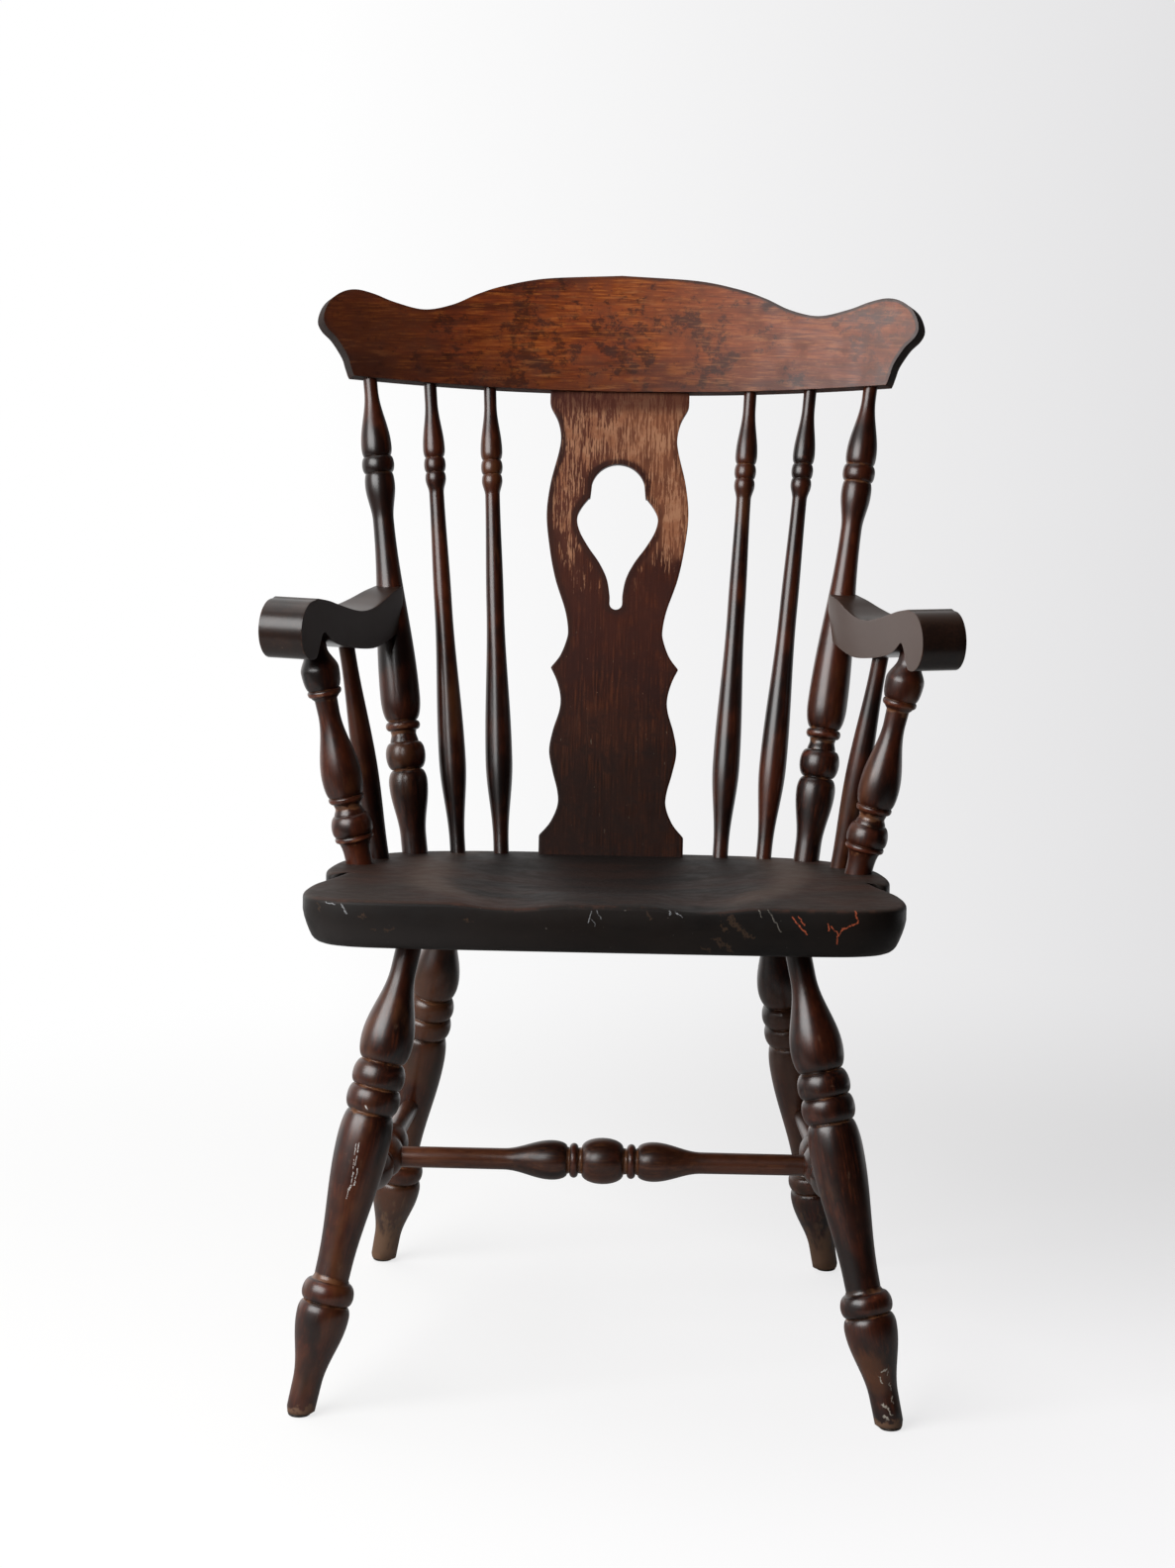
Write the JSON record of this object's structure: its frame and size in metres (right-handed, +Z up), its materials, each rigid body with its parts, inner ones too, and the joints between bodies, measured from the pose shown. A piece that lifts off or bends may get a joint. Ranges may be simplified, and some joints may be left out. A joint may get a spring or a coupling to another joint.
{
  "type": "armchair",
  "caption": "Turned wooden armchair with a saddled plank seat, splayed legs joined by stretchers, a pierced splat between back spindles, a bowed crest rail and scrolled arms.",
  "frame": {"origin": "on the floor, under the middle of the whole chair's bounding box", "axes": "+Z up, -Y is the chair's front, +X is to the right of someone who looks at the front"},
  "size_m": [0.6292, 0.5572, 0.96],
  "materials": {
    "seat_wood": "satin, worn dark stain",
    "crest_wood": "satin, stain worn to golden brown",
    "splat_wood": "satin, stain worn thin in the upper half",
    "turned_wood": "semi-gloss dark stain, thin on the beads and in the grooves",
    "arm_wood": "satin, worn dark stain",
    "stretcher_wood": "satin, worn red-brown stain",
    "glide_plastic": "scuffed"
  },
  "bodies": {
    "root": {"seat": "seat_wood", "crest_rail": "crest_wood", "splat": "splat_wood", "back_post_left": "turned_wood", "back_post_right": "turned_wood", "outer_spindle_left": "turned_wood", "outer_spindle_right": "turned_wood", "inner_spindle_left": "turned_wood", "inner_spindle_right": "turned_wood", "arm_left": "arm_wood", "arm_right": "arm_wood", "arm_post_left": "turned_wood", "arm_post_right": "turned_wood", "arm_spindle_left": "turned_wood", "arm_spindle_right": "turned_wood", "front_leg_left": "turned_wood", "front_leg_right": "turned_wood", "rear_leg_left": "turned_wood", "rear_leg_right": "turned_wood", "side_stretcher_left": "stretcher_wood", "side_stretcher_right": "stretcher_wood", "centre_stretcher": "stretcher_wood", "front_glide_left": "glide_plastic", "front_glide_right": "glide_plastic", "rear_glide_left": "glide_plastic", "rear_glide_right": "glide_plastic"}
  },
  "joints": []
}
